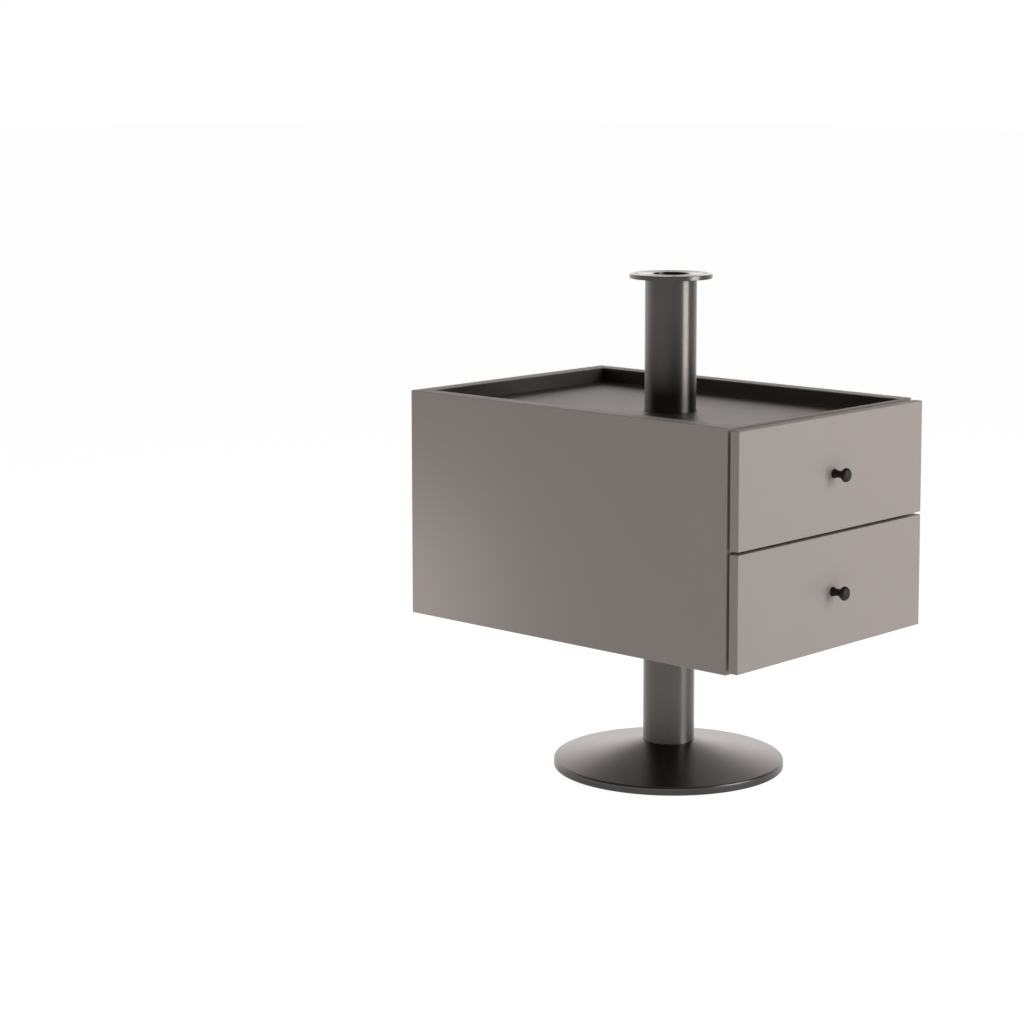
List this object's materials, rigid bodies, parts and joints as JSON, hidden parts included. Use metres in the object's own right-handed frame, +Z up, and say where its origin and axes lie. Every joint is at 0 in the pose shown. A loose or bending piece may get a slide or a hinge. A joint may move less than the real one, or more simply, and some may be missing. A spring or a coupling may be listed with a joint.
{
  "type": "swivel drawer pedestal",
  "caption": "Drawer pedestal on a round column with a dished foot: lacquered box with an open tray on top, sliding drawers and turned knobs, swivels under a desk.",
  "frame": {"origin": "on the floor, on the column axis, at the middle of the foot's floor face", "axes": "+Z up along the column, drawers open towards -Y, +X to the right seen from the back"},
  "size_m": [0.396, 0.5935, 0.676],
  "materials": {
    "brushed_dark": "vertically brushed, dark nickel",
    "cast_iron": "painted cast iron",
    "rubber_pad": "matte",
    "zinc_steel": "zinc plated",
    "dark_steel": "black powder coat",
    "taupe_lacquer": "matte lacquered board",
    "inner_board": "melamine faced board",
    "tray_black": "satin black hide",
    "polymer": "acetal",
    "beech": "raw",
    "bumper_rubber": "soft",
    "runner_steel": "zinc plated",
    "knob_bronze": "satin dark bronze"
  },
  "bodies": {
    "stand": {"base_cover": "brushed_dark", "base_ballast": "cast_iron", "floor_pad": "rubber_pad", "column_tube": "brushed_dark", "column_foot_plug": "zinc_steel", "base_bolts": "zinc_steel", "base_washers": "zinc_steel", "top_flange": "brushed_dark", "support_collar": "dark_steel", "collar_grub_screws": "zinc_steel", "thrust_washer": "zinc_steel"},
    "box": {"left_side_panel": "taupe_lacquer", "right_side_panel": "taupe_lacquer", "back_panel": "taupe_lacquer", "bottom_panel": "taupe_lacquer", "top_panel": "inner_board", "tray_front_lip": "taupe_lacquer", "tray_liner": "tray_black", "lower_hub": "zinc_steel", "upper_hub": "zinc_steel", "lower_bush": "polymer", "upper_bush": "polymer", "swivel_sleeve": "zinc_steel", "hub_screws": "zinc_steel", "panel_dowels": "beech", "runner_screws": "zinc_steel", "front_bumpers": "bumper_rubber", "upper_left_outer_rail": "runner_steel", "upper_right_outer_rail": "runner_steel", "lower_left_outer_rail": "runner_steel", "lower_right_outer_rail": "runner_steel"},
    "upper_middle_rails": {"upper_left_middle_rail": "runner_steel", "upper_right_middle_rail": "runner_steel"},
    "upper_drawer": {"upper_front": "taupe_lacquer", "upper_inner_front": "inner_board", "upper_left_side": "inner_board", "upper_right_side": "inner_board", "upper_back_boards": "inner_board", "upper_column_guard": "dark_steel", "upper_bottom": "inner_board", "upper_left_inner_rail": "runner_steel", "upper_right_inner_rail": "runner_steel", "upper_knob": "knob_bronze", "upper_knob_screw": "zinc_steel", "upper_front_screws": "zinc_steel"},
    "lower_middle_rails": {"lower_left_middle_rail": "runner_steel", "lower_right_middle_rail": "runner_steel"},
    "lower_drawer": {"lower_front": "taupe_lacquer", "lower_inner_front": "inner_board", "lower_left_side": "inner_board", "lower_right_side": "inner_board", "lower_back_boards": "inner_board", "lower_column_guard": "dark_steel", "lower_bottom": "inner_board", "lower_left_inner_rail": "runner_steel", "lower_right_inner_rail": "runner_steel", "lower_knob": "knob_bronze", "lower_knob_screw": "zinc_steel", "lower_front_screws": "zinc_steel"}
  },
  "joints": [
    {"name": "box_swivel", "type": "hinge", "parent": "stand", "child": "box", "pos_m": [0, 0, 0.35], "axis": [0, 0, 1], "continuous": true},
    {"name": "upper_drawer_slide", "type": "slide", "parent": "box", "child": "upper_drawer", "axis": [0, -1, 0], "range_m": [0, 0.4]},
    {"name": "upper_rail_slide", "type": "slide", "parent": "box", "child": "upper_middle_rails", "axis": [0, -1, 0], "range_m": [0, 0.2]},
    {"name": "lower_drawer_slide", "type": "slide", "parent": "box", "child": "lower_drawer", "axis": [0, -1, 0], "range_m": [0, 0.4]},
    {"name": "lower_rail_slide", "type": "slide", "parent": "box", "child": "lower_middle_rails", "axis": [0, -1, 0], "range_m": [0, 0.2]}
  ],
  "couplings": [
    {"joint": "upper_rail_slide", "follows": "upper_drawer_slide", "ratio": 0.5},
    {"joint": "lower_rail_slide", "follows": "lower_drawer_slide", "ratio": 0.5}
  ]
}
